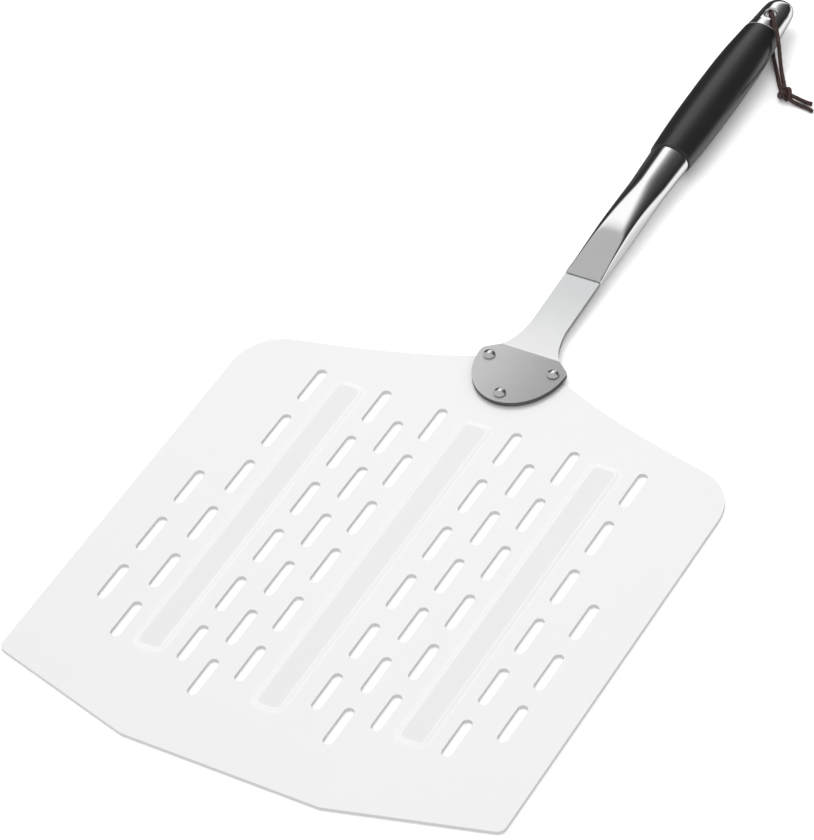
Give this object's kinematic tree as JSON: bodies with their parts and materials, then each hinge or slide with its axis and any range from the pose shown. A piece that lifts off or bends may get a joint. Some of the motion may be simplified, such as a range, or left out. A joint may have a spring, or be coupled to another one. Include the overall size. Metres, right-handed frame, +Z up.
{
  "type": "pizza peel",
  "caption": "Perforated sheet-metal pizza peel with pressed ribs, riveted steel neck, polished bolster, black grip and a hanging lace.",
  "frame": {"origin": "middle of the peel's length and width, on the flat underside of the blade that it stands on", "axes": "+Y along the handle, from the blade's front edge to the end cap; +Z up, out of the blade's top; +X to the right, seen from the front edge looking along the handle"},
  "size_m": [0.305, 0.654, 0.0243],
  "materials": {
    "blade_sheet": "pale satin aluminium sheet, finely brushed along its length",
    "strap_steel": "satin stainless strap, 2.5 mm thick",
    "rivet_steel": "bright domed rivet",
    "polished_steel": "mirror-polished stainless steel",
    "inner_steel": "plain machined steel, hidden in the handle",
    "grip_plastic": "black moulded plastic with a satin sheen",
    "lace_leather": "dark brown round leather lace"
  },
  "bodies": {
    "peel": {"blade": "blade_sheet", "neck_strap": "strap_steel", "rivet_left": "rivet_steel", "rivet_right": "rivet_steel", "rivet_front": "rivet_steel", "bolster": "polished_steel", "tang_block": "inner_steel", "tang_pin": "inner_steel", "tie_rod": "inner_steel", "grip": "grip_plastic", "end_cap": "polished_steel"},
    "lace": {"lace_upper_leg": "lace_leather", "lace_lower_leg": "lace_leather", "lace_knot": "lace_leather", "lace_long_tail": "lace_leather", "lace_short_tail": "lace_leather"}
  },
  "joints": [
    {"name": "lace_swing", "type": "hinge", "parent": "peel", "child": "lace", "pos_m": [0, 0.3095, 0.0137], "axis": [0, 0, 1], "range_deg": [0, 284]}
  ]
}
